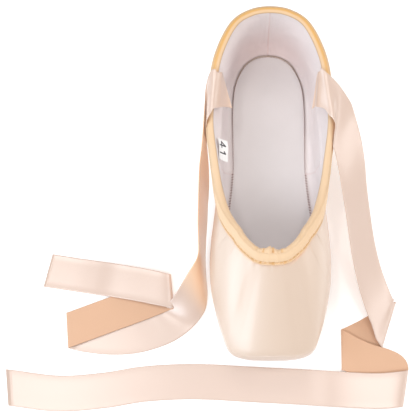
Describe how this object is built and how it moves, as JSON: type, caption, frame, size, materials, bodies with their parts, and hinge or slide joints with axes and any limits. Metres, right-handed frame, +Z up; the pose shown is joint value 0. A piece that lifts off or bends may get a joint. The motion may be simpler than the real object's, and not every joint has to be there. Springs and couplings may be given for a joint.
{
  "type": "pointe shoe",
  "caption": "Satin pointe shoe with a stiff box and platform, casing round the collar, leather outsole, insole and two sewn-in ribbons.",
  "frame": {"origin": "on the floor, under the middle of the shoe's own length and width, without the ribbons", "axes": "+Z up, the toe points along -Y, +X is the side at the right of the picture"},
  "size_m": [0.2641, 0.2597, 0.0605],
  "materials": {
    "peach_satin": "satin weave, soft gloss",
    "casing_satin": "satin bias strip, soft gloss",
    "insole_cloth": "matte cotton over board",
    "sole_leather": "matte undyed split leather",
    "ribbon_satin": "satin face, matte back",
    "lining_cloth": "matte plain cotton weave"
  },
  "bodies": {
    "root": {"upper": "peach_satin", "casing": "casing_satin", "insole": "insole_cloth", "outsole": "sole_leather", "ribbon_right": "ribbon_satin", "ribbon_left": "ribbon_satin"}
  },
  "joints": []
}
